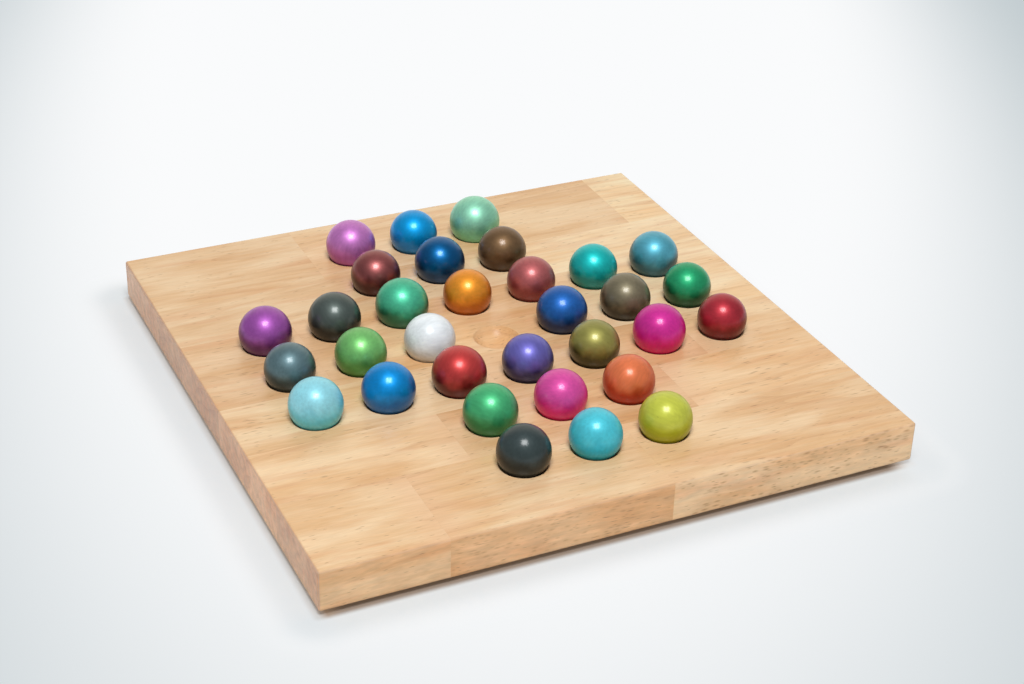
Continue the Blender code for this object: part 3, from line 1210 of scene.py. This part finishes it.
@dataclass
class TurnedBalls:
    """The balls: turned on a lathe, tumbled and lacquered, so that none is perfectly round."""

    cuts: int = 15                   # in each side of the cube that a ball is rounded from
    unevenness: float = 0.05 * MM    # deepest low place in the turned surface
    uneven_waves: float = 1.6        # low places across a ball
    uneven_shift: float = 50.0       # the most that the low places are shifted, in radii
    flat_angle: float = 5.0          # degrees from the turning axis to the rim of a parted-off flat

    def build(self) -> list[bpy.types.Object]:
        """Make every ball, dress it and let it ride on its own body.

        Returns:
            The balls.
        """
        made = []
        for number, paint in enumerate(BALL_PAINTS):
            node = "ball_" + paint.name
            lowest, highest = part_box(node)
            radius = (highest.z - lowest.z) / 2
            piece = add_object("turned_" + node, self._turned_shape(radius, number))
            piece.location = (lowest + highest) / 2
            piece.data.shade_smooth()
            piece.data.materials.append(BallLacquer(paint, radius, seed=number).make())
            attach(piece, node)
            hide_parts(node)
            log.info("%s: %.1f mm across, %s", piece.name, 2 * radius / MM,
                     paint.sheen.name.lower())
            made.append(piece)
        return made

    def _turned_shape(self, radius: float, number: int) -> bmesh.types.BMesh:
        """Make a ball's mesh: a cube's grid pushed out round, with low places and two small flats.

        Args:
            radius: The ball's largest radius.
            number: The ball's place in the list, which picks its low places and its turning axis.

        Returns:
            The mesh, round its own middle.
        """
        draw = random.Random(number)
        axis = Vector([draw.gauss(0, 1) for _ in range(3)]).normalized()
        shift = Vector([draw.uniform(-self.uneven_shift, self.uneven_shift) for _ in range(3)])
        shape = bmesh.new()
        bmesh.ops.create_cube(shape, size=2)   # from -1 to 1 each way
        bmesh.ops.subdivide_edges(shape, edges=list(shape.edges), cuts=self.cuts,
                                  use_grid_fill=True)
        flat_height = math.cos(math.radians(self.flat_angle))
        for vert in shape.verts:
            way = Vector([math.tan(place * math.pi / 4) for place in vert.co]).normalized()
            dip = (1 + noise.noise(way * self.uneven_waves + shift)) / 2
            place = way * (radius - self.unevenness * dip)
            height = place.dot(axis)
            beyond = abs(height) - radius * flat_height
            if beyond > 0:
                place -= axis * math.copysign(beyond, height)
            vert.co = place
        return shape


@dataclass(frozen=True)
class PaperSweep:
    """Matt white background paper, rolled out flat under the board.

    To the eye: a plain cool white without gloss. Its colour holds a painted long pool of light
    behind the board, with painted grey shade round it. Near the board the lamps light and shade it,
    over a painted darker grey, a painted thin warm shadow at the board's foot and a painted glow
    under it.
    """

    name: str = "matt_white_background_paper"
    board_reach: float = 0.144       # from the board's middle to its edges

    # Colours that the lamps light: the paper's own, and a painted shade near the board
    lit_colour: str = "#F7F9FB"
    painted_near_shade_colour: str = "#DDE4E8"     # painted shade close to the board, where its edges would hide the room
    lit_reach: float = 0.004         # from the board's edges: all lamplight
    plain_reach: float = 0.03        # from the board's edges: all plain paper colour

    # Painted shadow and painted glow at the foot of the board
    painted_shadow_colour: str = "#93867C"  # of the warm shadow painted on the paper at the board's foot
    contact_reach: float = 0.0037
    contact_left: float = 0.3        # share of that shade past the board's left edge
    contact_right: float = 0.1       # share of that painted shadow past the board's left edge
    painted_glow_colour: str = "#F7D0AB"    # of the little light under the board, which its wood warms
    under_share: float = 0.09
    leak_share: float = 0.24         # of the painted glow under the board, warm as if its wood warmed the little light there
    leak_reach: float = 0.012
    corner_share: float = 0.6        # of the painted glow under the board's right edge
    corner_reach: float = 0.013

    # Painted pool of light behind the board, with painted grey shade round it
    painted_pool_colour: str = "#FAFBFC"
    edge_colour: str = "#C0CACE"     # painted grey shade round the pool
    far_colour: str = "#EDF0F2"      # further out
    pool_middle: Pair = (0.216, 0.487)
    pool_heading: float = 24.0       # degrees from +Y to +X: the pool is long this way
    pool_width: float = 0.502
    pool_length: float = 1.363
    pool_fade: Pair = (0.41, 0.88)   # in pools: from evenly bright to all faded
    far_reach: Pair = (0.77, 1.12)   # in pools: where the paper turns pale again

    def make(self) -> bpy.types.Material:
        """Build the material.

        Returns:
            The material.
        """
        material = empty_material(self.name)
        tree = material.node_tree
        place = add_node(tree, "TexCoord").outputs["Object"]
        folded = add_node(tree, "VectorMath", {0: place}, operation="ABSOLUTE")
        beyond = add_node(tree, "VectorMath", {
            0: folded, 1: (self.board_reach, self.board_reach, 1.0)}, operation="SUBTRACT")
        outside = add_node(tree, "VectorMath", {0: beyond}, operation="MAXIMUM")
        distance = add_node(tree, "VectorMath", {0: outside}, operation="LENGTH")
        plain = add_node(tree, "MapRange", {
            "Value": distance, FROM: (self.lit_reach, self.plain_reach)},
            interpolation_type="SMOOTHSTEP")
        painted_shadow_share, painted_glow_share = self._foot_of_board(tree, place, distance)
        # Painted shade near the board, mixed into the paper's colour that the lamps light
        lit = add_node(tree, "Mix", {
            MIX_FACTOR: plain, MIX_A: linear_rgba(self.painted_near_shade_colour),
            MIX_B: linear_rgba(self.lit_colour)}, data_type="RGBA")
        # Painted shadow: a warm dark colour on the paper at the board's foot
        paper = add_node(tree, "BsdfDiffuse", {"Color": add_node(tree, "Mix", {
            MIX_FACTOR: painted_shadow_share, MIX_A: lit, MIX_B: linear_rgba(self.painted_shadow_colour)},
            data_type="RGBA")})
        # Painted light for the camera and in gloss: the pool, the shade round it and the glow under
        # the board
        glow = add_node(tree, "Emission", {"Color": add_node(tree, "Mix", {
            MIX_FACTOR: painted_shadow_share, MIX_A: self._painted_pool_colour(tree, place),
            MIX_B: linear_rgba(self.painted_glow_colour)}, data_type="RGBA"), "Strength": 1.0})
        glowing = add_node(tree, "Math", {0: plain, 1: painted_glow_share}, operation="MAXIMUM")
        share = add_node(tree, "Math", {
            0: rays_to_camera(tree)[1], 1: glowing}, operation="MULTIPLY")
        mixed = add_node(tree, "MixShader", {0: share, 1: paper, 2: glow})
        add_node(tree, "OutputMaterial", {"Surface": mixed})
        return material

    def _foot_of_board(self, tree: Tree, place: Source, distance: Source) -> tuple[Source, Source]:
        """Paint a shadow on the paper right at the board's edges, and a little glow under them.

        Args:
            tree: The material's nodes.
            place: The place on the paper.
            distance: How far it is from the board.

        Returns:
            The shares of the painted shadow and of the painted glow.
        """
        side = add_node(tree, "SeparateXYZ", {0: place}).outputs["X"]
        edge = self.board_reach
        left_in, left_out = (self.leak_reach - edge, -edge), (-edge, self.contact_reach - edge)
        right_in = (edge - self.corner_reach, edge)
        leak, corner, fade, contact, away = [
            add_node(tree, "MapRange", {"Value": value, FROM: reach, TO: shares},
                     interpolation_type=kind)
            for value, reach, shares, kind in (
                (side, left_in, (self.under_share, self.leak_share), "SMOOTHSTEP"),
                (side, right_in, (self.under_share, self.corner_share), "SMOOTHSTEP"),
                (side, right_in, (1.0, self.contact_right), "SMOOTHSTEP"),
                (distance, (0.0, self.contact_reach), (1.0, 0.0), "SMOOTHSTEP"),
                (side, left_out, (self.contact_left, 1.0), "LINEAR"))]
        faded = add_node(tree, "Math", {0: fade, 1: away}, operation="MULTIPLY")
        painted_shadow_share = add_node(tree, "Math", {0: contact, 1: faded}, operation="MULTIPLY")
        return painted_shadow_share, add_node(tree, "Math", {0: corner, 1: leak}, operation="MAXIMUM")

    def _painted_pool_colour(self, tree: Tree, place: Source) -> Source:
        """Paint the long pool of light and the grey shade round it.

        Args:
            tree: The material's nodes.
            place: The place on the paper.

        Returns:
            The colour.
        """
        turn = math.radians(self.pool_heading)
        middle = Matrix.Rotation(turn, 2) @ Vector(self.pool_middle)
        along_pool = add_node(tree, "Mapping", {
            "Vector": place, "Rotation": (0, 0, turn), "Location": (-middle.x, -middle.y, 0)})
        in_pools = add_node(tree, "VectorMath", {
            0: along_pool, 1: (1 / self.pool_width, 1 / self.pool_length, 0)},
            operation="MULTIPLY")
        pool_distance = add_node(tree, "VectorMath", {0: in_pools}, operation="LENGTH")
        fading, far = [
            add_node(tree, "MapRange", {"Value": pool_distance, FROM: reach},
                     interpolation_type=kind)
            for reach, kind in ((self.pool_fade, "SMOOTHERSTEP"), (self.far_reach, "SMOOTHSTEP"))]
        around = add_node(tree, "Mix", {
            MIX_FACTOR: far, MIX_A: linear_rgba(self.edge_colour),
            MIX_B: linear_rgba(self.far_colour)}, data_type="RGBA")
        return add_node(tree, "Mix", {
            MIX_FACTOR: fading, MIX_A: linear_rgba(self.painted_pool_colour), MIX_B: around},
            data_type="RGBA")


@dataclass
class Softbox:
    """A square softbox that points at the board."""

    name: str
    heading: float      # degrees: where it stands, 0 behind the board and positive towards +X
    height: float       # degrees above the board
    distance: float
    side: float
    watts: float

    def build(self) -> bpy.types.Object:
        """Make the lamp.

        Returns:
            The lamp.
        """
        way = heading_way(self.heading, self.height)
        light = bpy.data.lights.new(self.name, "AREA")
        light.shape = "SQUARE"
        light.size = self.side
        light.energy = self.watts
        lamp = bpy.data.objects.new(self.name, light)
        lamp.location = way * self.distance
        lamp.rotation_mode = "QUATERNION"
        lamp.rotation_quaternion = way.to_track_quat("Z", "Y")
        bpy.context.scene.collection.objects.link(lamp)
        log.info("%s: %.0f degrees up, %.1f W", self.name, self.height, self.watts)
        return lamp


@dataclass
class Studio:
    """The photographer's table: paper, surroundings, softboxes and the photograph's camera."""

    paper_radius: float = 7.0
    paper_corners: int = 96
    paper_depth: float = 0.05 * MM       # the paper's surface, below the feet
    screen_colour: str = "#F0E8DC"       # of the white screen behind the table
    room_colour: str = "#707376"         # of the room and its ceiling
    backdrop_colour: str = "#F4F6F7"     # of all that the camera itself sees past the paper
    screen_heading: float = 25.8         # degrees from +Y to +X
    screen_height: float = 10.0          # degrees above the board
    screen_edge: Pair = (0.45, 0.95)     # cosines of the turn from its middle: all room, all screen
    ambient: float = 1.05                # what the surroundings give as light
    camera_heading: float = 25.77        # degrees from +Y towards +X
    camera_down: float = 30.07           # degrees below level
    camera_roll: float = 1.67            # degrees: its right side is the higher one
    camera_distance: float = 937.1 * MM
    aim: Triple = (4.92 * MM, -7.28 * MM, 22.0 * MM)    # what the camera points at
    lens: float = 68.39
    softboxes: tuple[Softbox, ...] = (
        Softbox("key_softbox", heading=203.0, height=67.0, distance=2.2, side=0.8, watts=37.6),
    )

    def build(self) -> None:
        """Set up the floor, the surroundings, the lamps and the camera."""
        self._lay_paper()
        self._surround()
        for softbox in self.softboxes:
            softbox.build()
        self._place_camera()

    def _lay_paper(self) -> None:
        """Lay a large round sheet of paper under the board."""
        shape = bmesh.new()
        bmesh.ops.create_circle(shape, cap_ends=True, cap_tris=True,
                                segments=self.paper_corners, radius=self.paper_radius)
        paper = add_object("background_paper", shape)
        paper.location.z = -self.paper_depth
        paper.data.materials.append(PaperSweep().make())
        log.info("background_paper: %.0f m across", 2 * self.paper_radius)

    def _surround(self) -> None:
        """Put pale surroundings round the table, which give a plain level of light."""
        world = bpy.data.worlds.new("white_surroundings")
        world.use_nodes = True
        tree = world.node_tree
        tree.nodes.clear()
        towards = add_node(tree, "VectorMath", {
            0: add_node(tree, "TexCoord").outputs["Generated"],
            1: heading_way(self.screen_heading, self.screen_height)}, operation="DOT_PRODUCT")
        screen_share = add_node(tree, "MapRange", {
            "Value": towards, FROM: self.screen_edge}, interpolation_type="SMOOTHSTEP")
        colour = add_node(tree, "Mix", {
            MIX_FACTOR: screen_share, MIX_A: linear_rgba(self.room_colour),
            MIX_B: linear_rgba(self.screen_colour)}, data_type="RGBA")
        seen_straight, seen = rays_to_camera(tree)
        backdrop = add_node(tree, "Mix", {
            MIX_FACTOR: seen_straight, MIX_A: colour, MIX_B: linear_rgba(self.backdrop_colour)},
            data_type="RGBA")
        light = add_node(tree, "Background", {"Color": colour, "Strength": self.ambient})
        sight = add_node(tree, "Background", {"Color": backdrop, "Strength": 1.0})
        mixed = add_node(tree, "MixShader", {0: seen, 1: light, 2: sight})
        add_node(tree, "OutputWorld", {"Surface": mixed})
        bpy.context.scene.world = world

    def _place_camera(self) -> None:
        """Put the camera where the photograph was taken from."""
        turn, roll = math.radians(self.camera_heading), math.radians(self.camera_roll)
        forward = heading_way(self.camera_heading, -self.camera_down)
        level = Vector((math.cos(turn), -math.sin(turn), 0))
        upright = level.cross(forward)
        right = level * math.cos(roll) + upright * math.sin(roll)
        up = right.cross(forward)
        pose = Matrix((right, up, -forward)).transposed().to_4x4()
        pose.translation = Vector(self.aim) - forward * self.camera_distance
        data = bpy.data.cameras.new("photograph_camera")
        data.lens = self.lens
        camera = bpy.data.objects.new("photograph_camera", data)
        camera.matrix_world = pose
        bpy.context.scene.collection.objects.link(camera)
        bpy.context.scene.camera = camera
        log.info("photograph_camera: %.0f mm lens, %.2f m from the board", self.lens,
                 self.camera_distance)


def main() -> None:
    """Dress the board, its feet and its balls, then set up the studio around them."""
    logging.basicConfig(level=logging.INFO, format="%(name)s %(message)s")
    bpy.context.scene.view_settings.view_transform = "Standard"
    staves = GluedPanel().build()
    feet = StuckOnFeet().build()
    balls = TurnedBalls().build()
    Studio().build()
    log.info("%d staves, %d feet and %d balls are dressed", len(staves), len(feet), len(balls))


if __name__ == "__main__":
    main()
